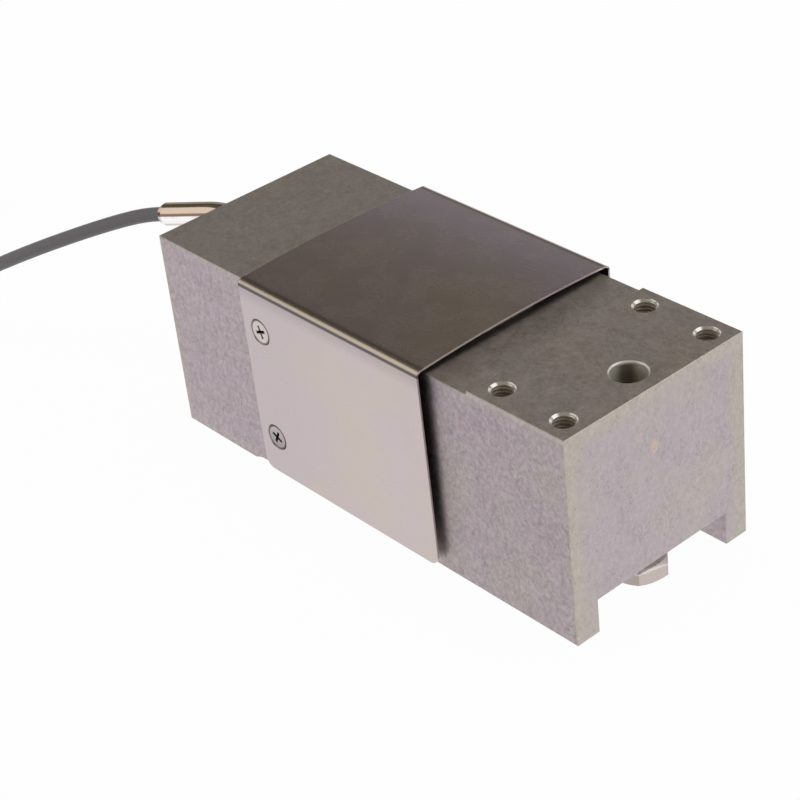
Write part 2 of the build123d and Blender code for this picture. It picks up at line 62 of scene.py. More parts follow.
# Cable: the route's points, with x measured from the cable end's face
cable_radius = 0.0026
route_points = (
    (-0.0398, -0.0100, 0.0562),
    (-0.045725, -0.0125, 0.05515),
    (-0.0561, -0.0188, 0.0515),
    (-0.0710, -0.0282, 0.0450),
    (-0.0895, -0.0398, 0.0360),
    (-0.1090, -0.0502, 0.0252),
    (-0.1295, -0.0594, 0.0152),
    (-0.1500, -0.0670, 0.0080),
    (-0.1692, -0.0724, 0.0040),
    (-0.1864, -0.0760, 0.0026),
    (-0.2016, -0.0785, 0.0026),
)

# Winding of the spare cable, clockwise: angles in degrees about the coil's middle
coil_columns = 3
coil_layers = 3
coil_step = 20.0
coil_joins = 279.3
coil_leaves = 200.0
coil_rise = 62.0
coil_entry = 60.0
change_angle = 54.0
change_spacing = 18.0

# End that lies on top of the coil: outwards from the last turn and up, in cable radii
end_outwards = 0.3
end_upwards = 1.05

# Threads of the eight bolt holes, and the pattern of the holes
thread_pitch = 0.00125
thread_crest_radius = 0.0032
thread_root_radius = 0.00405
thread_start = 0.0004
thread_length = 0.016
thread_rows = 8
thread_columns = 32
thread_root_share = 0.375
thread_flank_share = 0.3125
thread_smooth_angle = 28.0
hole_spacing_x = 0.025
hole_spacing_y = 0.060
holes_from_end = 0.020

# Rounding of the cover's cut edges
cut_rounding = 0.00014
cut_angle = 60.0

# Bolt holes, in millimetres: chamfer from the drilled core out to the mouth
hole_core_radius = 3.4
hole_mouth_radius = 4.3
hole_chamfer_depth = 0.8
hole_deepest = 30

# Masks of the holes, in millimetres: softness at a shape's limits, and depth where they start
mask_margin = 0.05
mask_start = (0.02, 0.08)

# Stop under the loaded end: bore, hexagon head with painted shade on one flat,
# and the painted highlight at the head's top edge, in millimetres
stop_from_end = 10.8
stop_mouth_radius = 6.25
stop_head_half_flats = 9.0
stop_flat_angle = -75.5
stop_highlight_low = 4.7
stop_highlight_high = 6.2

# Level direction to the back of the bore and of the sleeve, where the bore's chamfer gets its
# painted highlight
# and the sleeve its painted shade: along the block and across it
back_along = -0.78
back_across = 0.63

# Block: height of its pads, and a faint stain on the loaded end's face, in millimetres
pad_height = 1.5
stain_place = (-1.6, 54.8)
stain_size = (2.2, 3.0)

# Shape of the cover's fold, in millimetres
cover_crown = 1.4
cover_fold_radius = 2.1

# Heights above the start of the fold, for its painted dark crease, its painted highlight tint and
# the top, and rings of painted shade round the screws, in millimetres
crease_height = 0.6
fold_highlight_low = 0.9
fold_highlight_high = 2.3
top_starts = 2.1
screw_ring_radius = 4.15
screw_gap_radius = 4.55

# Block's marks: how strongly each kind shows, and how much calmer the ends and the tops are
mottle_strength = 0.98
fine_strength = 0.4
blotch_strength = 0.33
scratch_strength = 0.16
pit_strength = 0.25
end_calm = 0.54
top_calm = 0.35

# Depth of the bump in metals and plastics, in metres
block_mark_depth = 0.00003
cover_grain_depth = 0.000003
metal_mark_depth = 0.00001
plastic_grain_depth = 0.00002
jacket_grain_depth = 0.000006
board_track_depth = 0.00004

# Block and cover, from the frame, and the height where the cover's sides start to fold
block_low, block_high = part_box("beam_body")
cover_low, cover_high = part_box("cover")
end_face = block_low.x
cover_fold_height = cover_high.z / MM - cover_crown - cover_fold_radius


def make_camera():
    """The photograph's camera. Its principal point lies off the middle, so it has a small shift."""
    data = bpy.data.cameras.new("camera")
    data.sensor_width = sensor_width
    data.lens = focal_pixels / image_pixels * sensor_width
    data.shift_x = (image_pixels / 2 - optical_centre[0]) / image_pixels
    data.shift_y = (optical_centre[1] - image_pixels / 2) / image_pixels
    data.clip_start = camera_nearest
    camera = bpy.data.objects.new("camera", data)
    tilt = Euler((math.radians(90 - camera_elevation), 0, math.radians(camera_azimuth)))
    turn = Matrix.Rotation(math.radians(camera_roll), 3, "Z")
    camera.matrix_world = Matrix.LocRotScale(Vector(camera_place), tilt.to_matrix() @ turn, None)
    bpy.context.collection.objects.link(camera)
    bpy.context.scene.camera = camera


def smooth(value):
    """Ease from 0 to 1."""
    value = min(max(value, 0.0), 1.0)
    return value * value * (3 - 2 * value)


def coil_slots():
    """(radius, height) of each turn's place: outwards in, and back out a layer higher."""
    low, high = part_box("cable_coil")
    middle_radius = (high.x - low.x) / 2 - coil_columns * cable_radius
    slots = []
    for layer in range(coil_layers):
        columns = range(coil_columns)
        for column in columns if layer % 2 == 0 else reversed(columns):
            out = (coil_columns - 1) / 2 - column
            height = low.z + cable_radius * (2 * layer + 1)
            slots.append(Vector((middle_radius + 2 * cable_radius * out, height)))
    return slots


def coil_points():
    """The turns of the coil and the end that lies on top of them."""
    low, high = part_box("cable_coil")
    centre = (low + high) / 2
    slots = coil_slots()
    last = len(slots) - 1
    start = Vector((slots[0].x + 2 * cable_radius, cable_radius))
    top_radius = slots[last].x + end_outwards * cable_radius
    top = Vector((top_radius, high.z + end_upwards * cable_radius))
    steps = round(360 / coil_step)
    swell = 1 / math.cos(math.radians(coil_step / 2))
    points = []

    def add(angle, place):
        turn = math.radians(angle)
        radius = place.x * swell
        x = centre.x + radius * math.cos(turn)
        y = centre.y + radius * math.sin(turn)
        points.append(Vector((x, y, place.y)))

    for number in range(len(slots)):
        change = 360 - change_angle - number * change_spacing
        for step in range(1 if number == 0 else 0, steps):
            angle = step * coil_step
            place = slots[number]
            if number == 0:
                place = start.lerp(slots[0], smooth((angle - coil_step / 2) / coil_entry))
            if number < last:
                place = place.lerp(slots[number + 1], smooth((angle - change) / change_angle))
            add(coil_joins - angle, place)
    for step in range(round((coil_joins - coil_leaves) / coil_step * 2)):
        angle = step * coil_step / 2
        add(coil_joins - angle, slots[last].lerp(top, smooth(angle / coil_rise)))
    return points


def end_points():
    """Start and end of the straight jacket that goes into the shrink sleeve."""
    low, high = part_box("cable_end")
    coil_low, coil_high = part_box("cable_coil")
    centre = (coil_low + coil_high) / 2
    middle = (low + high) / 2
    turn = math.radians(coil_leaves - 90)
    along = Vector((math.cos(turn), math.sin(turn), 0))
    half = (middle - centre).dot(along)
    return [middle - along * half, middle + along * half]


def make_cable():
    """The free cable, from the sleeve's mouth to its stripped end, on one spline."""
    route = [Vector((end_face + x, y, z)) for x, y, z in route_points]
    points = route + coil_points() + end_points()
    curve = bpy.data.curves.new("cable", "CURVE")
    curve.dimensions = "3D"
    curve.bevel_depth = 1.0
    curve.bevel_resolution = 6
    curve.resolution_u = 6
    curve.use_fill_caps = True
    spline = curve.splines.new("NURBS")
    spline.points.add(len(points) - 1)
    for place, point in zip(spline.points, points):
        place.co = (*point, 1)
        place.radius = cable_radius
    spline.order_u = 3
    spline.use_endpoint_u = True
    cable = bpy.data.objects.new("cable", curve)
    bpy.context.collection.objects.link(cable)
    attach(cable, "root")
    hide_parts("cable_run", "cable_coil", "cable_end")
    carried_starts = ("lead_", "coil_tie", "end_shrink")
    carried = [name for name in frame["nodes"] if name.startswith(carried_starts)]
    carried += ["cable_sleeve", "cable_tail", "cable_gland", "gland_washer"]
    return cable


def add_thread(mesh, placed):
    """Ridged rod that cuts one right-hand thread, from the hole's mouth at z = 0 downwards."""
    rows = round(thread_length / thread_pitch * thread_rows)
    rings = []
    for row in range(rows + 1):
        depth = thread_start + thread_length * row / rows
        ring = []
        for column in range(thread_columns):
            share = column / thread_columns
            away = abs((depth / thread_pitch + share) % 1 - 0.5)
            lift = min(max((thread_root_share - away) / thread_flank_share, 0), 1)
            radius = thread_crest_radius + (thread_root_radius - thread_crest_radius) * lift
            angle = 2 * math.pi * share
            spot = Vector((radius * math.cos(angle), radius * math.sin(angle), -depth))
            ring.append(mesh.verts.new(placed @ spot))
        rings.append(ring)
    for upper, lower in zip(rings, rings[1:]):
        for i in range(thread_columns):
            j = (i + 1) % thread_columns
            mesh.faces.new((upper[i], lower[i], lower[j], upper[j]))
    mesh.faces.new(rings[0])
    mesh.faces.new(reversed(rings[-1]))


def make_cutter():
    """Eight ridged rods in the bolt holes of the loaded end's top and the fixed end's underside."""
    rods = bmesh.new()
    loaded = (block_high.x - holes_from_end, block_high.z, 0)
    fixed = (block_low.x + holes_from_end, block_low.z, 180)
    for x, z, turn in (loaded, fixed):
        for across in (-0.5, 0.5):
            for along in (-0.5, 0.5):
                spot = Vector((x + along * hole_spacing_x, across * hole_spacing_y, z))
                turned = Matrix.Rotation(math.radians(turn), 4, "X")
                add_thread(rods, Matrix.Translation(spot) @ turned)
    mesh = bpy.data.meshes.new("cutter")
    rods.to_mesh(mesh)
    rods.free()
    return bpy.data.objects.new("cutter", mesh)


def make_block():
    """The block with threads cut in its bolt holes."""
    cutter = make_cutter()
    block = bpy.data.objects.new("block", frame["nodes"]["beam_body"].data.copy())
    for item in (cutter, block):
        bpy.context.collection.objects.link(item)
    cut = block.modifiers.new("threads", "BOOLEAN")
    cut.operation = "DIFFERENCE"
    cut.solver = "EXACT"
    cut.object = cutter
    graph = bpy.context.evaluated_depsgraph_get()
    mesh = bpy.data.meshes.new_from_object(block.evaluated_get(graph))
    block.modifiers.clear()
    block.data = mesh
    bpy.data.objects.remove(cutter)
    if "custom_normal" in mesh.attributes:
        mesh.attributes.remove(mesh.attributes["custom_normal"])
    mesh.shade_smooth()
    mesh.set_sharp_from_angle(angle=math.radians(thread_smooth_angle))
    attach(block, "root")
    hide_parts("beam_body")
    return block


make_camera()
cable = make_cable()
block = make_block()


class Value:
    """A number, colour or vector that shader nodes work out, open to arithmetic."""

    def __init__(self, shader, socket):
        self.shader = shader
        self.socket = socket

    def math(self, operation, *others):
        inputs = dict(enumerate((self, *others)))
        return self.shader.node("Math", inputs, operation=operation)

    def __add__(self, other):
        return self.math("ADD", other)

    def __sub__(self, other):
        return self.math("SUBTRACT", other)

    def __mul__(self, other):
        return self.math("MULTIPLY", other)

    def __truediv__(self, other):
        return self.math("DIVIDE", other)

    def __rsub__(self, other):
        return (self * -1) + other

    __radd__ = __add__
    __rmul__ = __mul__

    def size(self):
        return self.math("ABSOLUTE")

    def least(self, other):
        return self.math("MINIMUM", other)

    def most(self, other):
        return self.math("MAXIMUM", other)

    def ramp(self, start, end):
        """0 below start, 1 above end and smooth between, also with the two the other way round."""
        inputs = {"Value": self, "From Min": start, "From Max": end}
        return self.shader.node("MapRange", inputs, interpolation_type="SMOOTHSTEP")

    def near(self, middle, wide, full):
        """1 within full of middle, 0 farther than wide from it and smooth between."""
        return (self - middle).size().ramp(wide, full)


class Shader:
    """The node tree of a material or of the world."""

    def __init__(self, owner):
        owner.use_nodes = True
        self.tree = owner.node_tree
        self.tree.nodes.clear()

    def node(self, kind, inputs=None, output=0, **settings):
        """Add a node, with its settings and inputs, and return one of its outputs."""
        made = self.tree.nodes.new("ShaderNode" + kind)
        for name, value in settings.items():
            setattr(made, name, value)
        for key, value in (inputs or {}).items():
            if isinstance(value, Value):
                self.tree.links.new(value.socket, made.inputs[key])
            else:
                made.inputs[key].default_value = value
        return Value(self, made.outputs[output]) if made.outputs else None

    def vector(self, operation, inputs):
        """Result of one step of vector maths."""
        return self.node("VectorMath", inputs, operation=operation)

    def place(self):
        """Position on the object in millimetres."""
        spot = self.node("TexCoord", output="Object")
        return self.vector("SCALE", {0: spot, "Scale": 1 / MM})

    def split(self, vector):
        """The three parts of a vector."""
        parts = self.node("SeparateXYZ", {0: vector})
        outputs = parts.socket.node.outputs
        return [Value(self, outputs[axis]) for axis in ("X", "Y", "Z")]

    def noise(
        self, vector, size, detail=2, roughness=0.5, distortion=0, stretch=(1, 1, 1), offset=0
    ):
        """Noise from 0 to 1 whose features are about size across."""
        factors = tuple(1 / (size * part) for part in stretch)
        scaled = self.vector("MULTIPLY", {0: vector, 1: factors})
        inputs = {
            "Vector": self.vector("ADD", {0: scaled, 1: (offset, offset, offset)}),
            "Scale": 1.0,
            "Detail": detail,
            "Roughness": roughness,
            "Distortion": distortion,
        }
        return self.node("TexNoise", inputs)

    def cells(self, vector, size, offset):
        """Distance from the nearest of scattered points, in parts of size."""
        moved = self.vector("ADD", {0: vector, 1: (offset, offset, offset)})
        return self.node("TexVoronoi", {"Vector": moved, "Scale": 1 / size}, output="Distance")

    def mix(self, low, high, factor):
        """Colour between two colours."""
        return self.node("Mix", {0: factor, 6: low, 7: high}, output=2, data_type="RGBA")

    def shade(self, colour, factor):
        """Colour made lighter or darker by a number around 1."""
        if not isinstance(colour, Value):
            colour = colour[:3]
        return self.vector("SCALE", {0: colour, "Scale": factor})

    def bump(self, height, distance, strength):
        """Normal of a surface whose height varies by distance in metres."""
        return self.node("Bump", {"Strength": strength, "Distance": distance, "Height": height})

    def surface(self, inputs):
        """Principled surface."""
        shader = self.node("BsdfPrincipled", inputs)
        self.node("OutputMaterial", {"Surface": shader})


def rgb(red, green, blue):
    """Linear colour from 8 bit values as they show on a screen."""
    parts = []
    for part in (red, green, blue):
        part /= 255
        dark = part <= 0.04045
        parts.append(part / 12.92 if dark else ((part + 0.055) / 1.055) ** 2.4)
    return (*parts, 1.0)


def new_shader(name):
    """Fresh material and its shader."""
    material = bpy.data.materials.new(name)
    return material, Shader(material)


def distance(one, other):
    """Length of a way with two parts at right angles."""
    return (one * one + other * other).math("SQRT")


def edge_distance(x, y, z):
    """Distance in millimetres from the nearest long edge of the block, on any of its faces."""
    half_length = (block_high.x - block_low.x) / 2 / MM
    half_width = (block_high.y - block_low.y) / 2 / MM
    to_end = half_length - x.size()
    to_side = half_width - y.size()
    to_top = (z - block_low.z / MM).least(block_high.z / MM - z)
    return to_end.least(to_side).most(to_end.most(to_side).least(to_top))


def bolt_holes(x, y, z):
    """1 on the chamfers at the mouths of the bolt holes, bright as fresh cuts with a painted
    highlight, and 1 on the threads below them.
    """
    along = (x.size() - block_high.x / MM + holes_from_end / MM).size() - hole_spacing_x / 2 / MM
    across = y.size() - hole_spacing_y / 2 / MM
    out = distance(along, across)
    loaded = x.ramp(-1, 1)
    depth = (block_high.z / MM - z) * loaded + (z - block_low.z / MM) * (1 - loaded)
    inside = out.ramp(hole_mouth_radius + mask_margin, hole_mouth_radius - mask_margin)
    cone = inside * out.ramp(hole_core_radius - mask_margin, hole_core_radius + 0.02)
    above = depth.ramp(hole_chamfer_depth + mask_margin, hole_chamfer_depth - mask_margin)
    below = depth.ramp(hole_chamfer_depth - mask_margin, hole_chamfer_depth + 0.1)
    thread = inside * below * depth.ramp(hole_deepest, hole_deepest - 1)
    return cone * depth.ramp(*mask_start) * above, thread


def stop_bore(x, y, z):
    """1 on the dull wall of the stop bore, on its chamfer (most on its far half, painted bright)
    and on a streak of painted shade down the wall.
    """
    along = x - block_high.x / MM + stop_from_end
    depth = block_high.z / MM - z
    back = (y * back_across + along * back_along).ramp(-1.5, 3.0)
    out = distance(along, y)
    inside = out.ramp(stop_mouth_radius + mask_margin, stop_mouth_radius - mask_margin)
    inner = inside * depth.ramp(*mask_start)
    chamfer_depth = 0.4 + back * 0.6
    wall = inner * (depth - chamfer_depth).ramp(0.0, 0.15)
    mouth = inner * (1 - wall) * (0.25 + back * 0.75)
    shade_streak = (along * back_across - y * back_along).near(0, wide=4.0, full=1.0)
    return wall, mouth, shade_streak


def block_marks(shader, place):
    """Marks of the tumbling, from the broadest to the finest, then thin scratches and pits."""
    cloud = shader.noise(place, size=26)
    blotch = shader.noise(place, size=5.5, detail=3, roughness=0.6, offset=7)
    mottle = shader.noise(
        place, size=1.7, detail=3, roughness=0.6, distortion=0.7, stretch=(1, 1, 1.25), offset=13
    )
    fine = shader.noise(place, size=0.8, roughness=0.6, stretch=(1, 1, 1.2), offset=3)
    field = shader.noise(
        place, size=2.4, detail=4, roughness=0.6, distortion=0.9, stretch=(1, 1, 1.6), offset=11
    )
    patch = shader.noise(place, size=12, offset=5).ramp(0.42, 0.6)
    scratch = field.near(0.5, wide=0.03, full=0.0) * patch
    pitted = shader.noise(place, size=6, offset=9).ramp(0.46, 0.56)
    pit = shader.cells(place, size=2.6, offset=2).ramp(0.19, 0.06) * pitted
    return cloud, blotch, mottle, fine, scratch, pit


def block_material():
    """Tumbled aluminium: fine dense mottling, faint dark marks, cleaner edges, chamfers with a
    painted highlight, and painted light and shade.
    """
    side_grey = rgb(174, 161, 167)
    end_grey = rgb(173, 163, 167)
    top_grey = rgb(176, 167, 164)
    clean_grey = rgb(178, 171, 158)
    stain_brown = rgb(206, 184, 152)
    cut_and_highlight_white = rgb(230, 227, 220)
    bore_oxide = rgb(214, 210, 198)
    streak_shade_grey = rgb(132, 122, 114)
    thread_oxide = rgb(206, 196, 184)
    material, shader = new_shader("block_metal")
    place = shader.place()
    x, y, z = shader.split(place)
    cloud, blotch, mottle, fine, scratch, pit = block_marks(shader, place)

    # Faces: sawn is 1 on the two ends, level on the tops, and milled on all but the ends
    sawn = ((block_high.x - block_low.x) / 2 / MM - x.size()).ramp(0.5, 0.25)
    level = (block_high.z / MM - z).ramp(pad_height + 0.4, pad_height + 0.1)
    milled = 1 - sawn

    # Cleaner metal: in broad clouds, and in an uneven rim along the edges, wider on the ends
    uneven = cloud * 8 + blotch * 5 - 6.5
    narrow = 2.2 - sawn * 1.2
    rim = ((edge_distance(x, y, z) + uneven) * narrow).ramp(9.0, 1.0)
    rim = rim * (0.45 + sawn * 0.3 - level * 0.2)
    clean = (cloud.ramp(0.45, 0.7) * 0.45).most(rim)

    # Colour: by the face, cleaner, and stained on the loaded end's face
    base = shader.mix(side_grey, end_grey, sawn)
    base = shader.mix(base, top_grey, level)
    base = shader.mix(base, clean_grey, clean)
    stain_y = (y - stain_place[0]) / stain_size[0]
    stain_z = (z - stain_place[1]) / stain_size[1]
    stain = (stain_y * stain_y + stain_z * stain_z + blotch - 0.5).ramp(1.0, 0.1) * sawn
    base = shader.mix(base, stain_brown, stain * x.ramp(0, 1) * 0.5)

    # Light: the marks, and a slow change of painted light that lightens the ends, the sides towards
    # the fixed end and the tops towards the loaded end
    spread = 1 - sawn * end_calm - level * milled * top_calm
    marks = (mottle - 0.5) * mottle_strength + (fine - 0.5) * fine_strength
    marks = marks + (blotch - 0.5) * blotch_strength
    painted_slope = 0.97 + sawn * 0.2 + x.ramp(10, -60) * milled * 0.09
    painted_slope = painted_slope + level * milled * (x.ramp(20, 50) * 0.13 - 0.04)
    sound = (1 - scratch * scratch_strength) * (1 - pit * (pit_strength + level * 0.1))
    light = (1.0 + spread * marks) * sound * painted_slope

    # Holes: chamfers bright as fresh cuts with a painted highlight, the bore's mostly on its far
    # half, and duller walls
    wall, mouth, shade_streak = stop_bore(x, y, z)
    chamfer, thread = bolt_holes(x, y, z)
    colour = shader.mix(shader.shade(base, light), cut_and_highlight_white, chamfer.most(mouth))
    # Painted shade: a dark streak down the middle of the bore's wall
    oxide = shader.mix(bore_oxide, streak_shade_grey, shade_streak)
    oxide = shader.mix(oxide, thread_oxide, thread)

    rough = 0.43 + (blotch - 0.5) * 0.12 + (mottle - 0.5) * 0.1 + scratch * 0.08
    height = mottle * 0.5 + fine * 0.3 - scratch * 0.4 - pit * 0.8
    shader.surface(
        {
            "Base Color": shader.mix(colour, oxide, wall.most(thread)),
            "Metallic": 1 - wall * 0.85 - mouth * 0.4 - chamfer * 0.35 - thread * 0.6,
            "Roughness": rough * (1 - chamfer * 0.5),
            "Normal": shader.bump(height, block_mark_depth, 0.35),
        }
    )
    return material


def screw_distance(x, z):
    """Distance in millimetres from the nearer of the two screw axes, seen from the side."""
    ways = []
    for node in ("cover_screw_near_upper", "cover_screw_near_lower"):
        low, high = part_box(node)
        away_x = x - (low.x + high.x) / 2 / MM
        away_z = z - (low.z + high.z) / 2 / MM
        ways.append(distance(away_x, away_z))
    return ways[0].least(ways[1])


def cover_shadows(x, y, z):
    """Light left in the fold's crease, in the hollow above it and in the gap round each screw."""
    rise = z - cover_fold_height
    crease = rise.near(crease_height, wide=0.9, full=0.2)
    flat = (cover_high.y - cover_low.y) / 2 / MM - cover_fold_radius
    inward = y.size() - flat
    hollow = inward.ramp(-1.6, -0.1) * inward.ramp(0.6, 0.1) * rise.ramp(1.5, 1.9)
    gap = screw_distance(x, z).near(screw_gap_radius, wide=0.25, full=0.1)
    return (1 - crease * 0.75) * (1 - hollow * 0.45) * (1 - gap * 0.35)


def cover_material():
    """Rolled stainless sheet: satin, with a faint grain along the block and a few smears, and
    painted highlight, reflection and shade.
    """
    start_grey = rgb(198, 185, 188)
    far_grey = rgb(199, 187, 180)
    fold_highlight_yellow = rgb(203, 191, 170)
    top_reflection_lilac = rgb(191, 179, 191)
    material, shader = new_shader("cover_metal")
    place = shader.place()
    x, y, z = shader.split(place)
    cloud = shader.noise(place, size=30, offset=4)
    grain = shader.noise(place, size=0.16, detail=3, roughness=0.6, stretch=(60, 1, 1), offset=1)
    smear = shader.noise(place, size=9, detail=1, distortion=0.3, offset=8)
    speck = shader.cells(place, size=5.5, offset=6).ramp(0.05, 0.02)
    from_start = x - cover_low.x / MM
    rise = z - cover_fold_height

    # Colour: warmer away from the screwed end, a yellow painted highlight tint in the fold, and a
    # lilac painted reflection tint towards the far top
    warm = cloud.ramp(0.35, 0.65) * from_start.ramp(4, 22)
    highlight_band = rise.ramp(fold_highlight_low, fold_highlight_low + 0.3) * rise.ramp(fold_highlight_high, fold_highlight_high - 0.4)
    top = rise.ramp(top_starts, top_starts + 0.5)
    base = shader.mix(start_grey, far_grey, warm)
    base = shader.mix(base, fold_highlight_yellow, highlight_band * 0.8)
    base = shader.mix(base, top_reflection_lilac, top * y.ramp(-5, 35))

    # Light: faint marks, painted light that grows away from the screwed end and on the top, painted
    # shade under the fold, and the painted shadows
    shade_under_fold = rise.ramp(-6.0, 0.3) * rise.ramp(1.2, 0.6)
    light = 0.96 + (grain - 0.5) * 0.03 + (smear - 0.5) * 0.03 + from_start.ramp(5, 60) * 0.05
    light = (light + top * 0.07) * (1 - shade_under_fold * 0.18)
    light = light * (1 - speck * 0.2) * cover_shadows(x, y, z)

    # Cut edges of the sheet are rougher than its faces
    middle = (cover_low.x + cover_high.x) / 2 / MM
    half_length = (cover_high.x - cover_low.x) / 2 / MM
    cut = (half_length - (x - middle).size()).ramp(0.12, 0.05)
    shader.surface(
        {
            "Base Color": shader.shade(base, light),
            "Metallic": 1 - cut * 0.5,
            "Roughness": 0.27 + (smear - 0.5) * 0.05 + (grain - 0.5) * 0.02 + cut * 0.2,
            "Normal": shader.bump(grain, cover_grain_depth, 0.06),
        }
    )
    return material


def screw_material():
    """Countersunk screw: bright face, with painted shade in a ring at its rim and in its cross
    recess.
    """
    face_grey = rgb(208, 198, 196)
    recess_shade_grey = rgb(92, 84, 82)
    material, shader = new_shader("screw_metal")
    place = shader.place()
    x, y, z = shader.split(place)
    marks = shader.noise(place, size=0.5, detail=3, stretch=(3, 3, 1))
    # Painted shade: a dark ring near the rim, and darkening in the cross recess
    rim = screw_distance(x, z).near(screw_ring_radius, wide=0.36, full=0.16)
    low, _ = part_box("cover_screw_near_upper")
    depth = y.size() + low.y / MM
    shaded_recess = depth.ramp(-0.25, -0.7)
    light = (1.0 + (marks - 0.5) * 0.2) * (1 - rim * 0.75) * (1 - shaded_recess * 0.75)
    shader.surface(
        {
            "Base Color": shader.shade(shader.mix(face_grey, recess_shade_grey, shaded_recess), light),
            "Metallic": 1 - shaded_recess * 0.5,
            "Roughness": 0.34 + (marks - 0.5) * 0.12 + shaded_recess * 0.3,
            "Normal": shader.bump(marks, metal_mark_depth, 0.3),
        }
    )
    return material


def bolt_material():
    """Stop bolt: plated steel with painted shade on one flat and a painted highlight round the top
    of its head.
    """
    plated_grey = rgb(204, 190, 185)
    edge_highlight_white = rgb(248, 240, 236)
    material, shader = new_shader("bolt_metal")
    place = shader.place()
    x, y, z = shader.split(place)
    marks = shader.noise(place, size=0.7, detail=4, roughness=0.6, stretch=(1, 1, 3))
    # Painted shade on one flat of the head
    turn = math.radians(stop_flat_angle)
    along = x - block_high.x / MM + stop_from_end
    reach = along * math.cos(turn) + y * math.sin(turn)
    shaded_flat = reach.ramp(stop_head_half_flats - 0.15, stop_head_half_flats - 0.02)
    low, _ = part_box("stop_bolt")
    above = z - low.z / MM
    # Painted highlight round the top of the head
    highlight_edge = above.ramp(stop_highlight_low - 0.2, stop_highlight_low + 0.2)
    highlight_edge = highlight_edge * above.ramp(stop_highlight_high + 0.1, stop_highlight_high - 0.1)
    light = (0.95 + (marks - 0.5) * 0.2) * (1 - shaded_flat * 0.25)
    shader.surface(
        {
            "Base Color": shader.mix(shader.shade(plated_grey, light), edge_highlight_white, highlight_edge),
            "Metallic": 1 - highlight_edge * 0.6,
            "Roughness": 0.34 + (marks - 0.5) * 0.12,
            "Normal": shader.bump(marks, metal_mark_depth, 0.3),
        }
    )
    return material


def sleeve_material():
    """Nickel tube with painted reflections: white below, a warm painted highlight above a thin dark
    painted line along its side, and painted shade on its back.
    """
    floor_reflection_white = rgb(253, 250, 249)
    smudge_grey = rgb(226, 210, 210)
    highlight_warm_grey = rgb(232, 214, 201)
    reflection_line_brown = rgb(140, 114, 92)
    reflection_line_up = 0.34
    material, shader = new_shader("sleeve_metal")
    place = shader.place()
    marks = shader.noise(place, size=0.5, detail=4, roughness=0.6, stretch=(12, 1, 1))
    along, across, up = shader.split(shader.node("NewGeometry", output="Normal"))
    # Painted shade on the side that faces the back
    back = (across * back_across + along * back_along).ramp(0.0, 0.2)
    # Painted reflections by which way the surface faces: white below, a dark line, a warm highlight
    # above
    line = up.near(reflection_line_up, wide=0.17, full=0.06)
    smudge = shader.noise(place, size=3, offset=4).ramp(0.4, 0.7) * up.ramp(0.0, 0.3)
    base = shader.mix(floor_reflection_white, smudge_grey, smudge)
    base = shader.mix(base, highlight_warm_grey, up.ramp(reflection_line_up + 0.02, reflection_line_up + 0.08))
    base = shader.mix(base, reflection_line_brown, line)
    light = (1.0 + (marks - 0.5) * 0.1) * (1 - back * 0.6)
    shader.surface(
        {
            "Base Color": shader.shade(base, light),
            "Metallic": 1.0,
            "Specular Tint": (0.45, 0.42, 0.4, 1.0),
            "Roughness": 0.16 + (marks - 0.5) * 0.1,
            "Normal": shader.bump(marks, metal_mark_depth, 0.2),
        }
    )
    return material


def metal_material(name, colour, roughness, size, stretch):
    """Plain metal with fine marks, a little dirt and uneven gloss."""
    material, shader = new_shader(name)
    place = shader.place()
    marks = shader.noise(place, size, detail=4, roughness=0.6, stretch=stretch)
    dirt = shader.noise(place, 9 * size, detail=3, offset=5).ramp(0.45, 0.75)
    light = 1.0 + (marks - 0.5) * 0.2 - dirt * 0.12
    shader.surface(
        {
            "Base Color": shader.shade(colour, light),
            "Metallic": 1.0,
            "Roughness": roughness + (marks - 0.5) * 0.12 + dirt * 0.08,
            "Normal": shader.bump(marks, metal_mark_depth, 0.3),
        }
    )
    return material


def plastic_material(name, colour, roughness, size, depth=plastic_grain_depth, coat=0.0):
    """Rubber or plastic with a fine grain, slight dust and uneven gloss."""
    dust_grey = rgb(150, 150, 148)
    material, shader = new_shader(name)
    place = shader.place()
    grain = shader.noise(place, size, detail=4, roughness=0.65)
    dust = shader.noise(place, 8 * size, detail=3, offset=5).ramp(0.5, 0.8)
    light = 1.0 + (grain - 0.5) * 0.18
    shader.surface(
        {
            "Base Color": shader.shade(shader.mix(colour, dust_grey, dust * 0.12), light),
            "Roughness": roughness + (grain - 0.5) * 0.15 + dust * 0.1,
            "Coat Weight": coat,
            "Normal": shader.bump(grain, depth, 0.4),
        }
    )
    return material


def foil_material():
    """Strain gauge: amber film with a fine metal grid."""
    film_amber = rgb(190, 120, 40)
    grid_grey = rgb(205, 195, 180)
    line_spacing = 0.8
    gauge_from_middle = 23
    material, shader = new_shader("gauge_foil")
    x, y, _ = shader.split(shader.place())
    line = (y * (2 * math.pi / line_spacing)).math("SINE").ramp(0.1, 0.5)
    inside = y.near(0, wide=3.2, full=3.0)
    inside = inside * x.size().near(gauge_from_middle, wide=4.2, full=4.0)
    grid = line * inside
    base = shader.mix(film_amber, grid_grey, grid)
    shader.surface({"Base Color": base, "Metallic": grid, "Roughness": 0.35 - grid * 0.1})
    return material


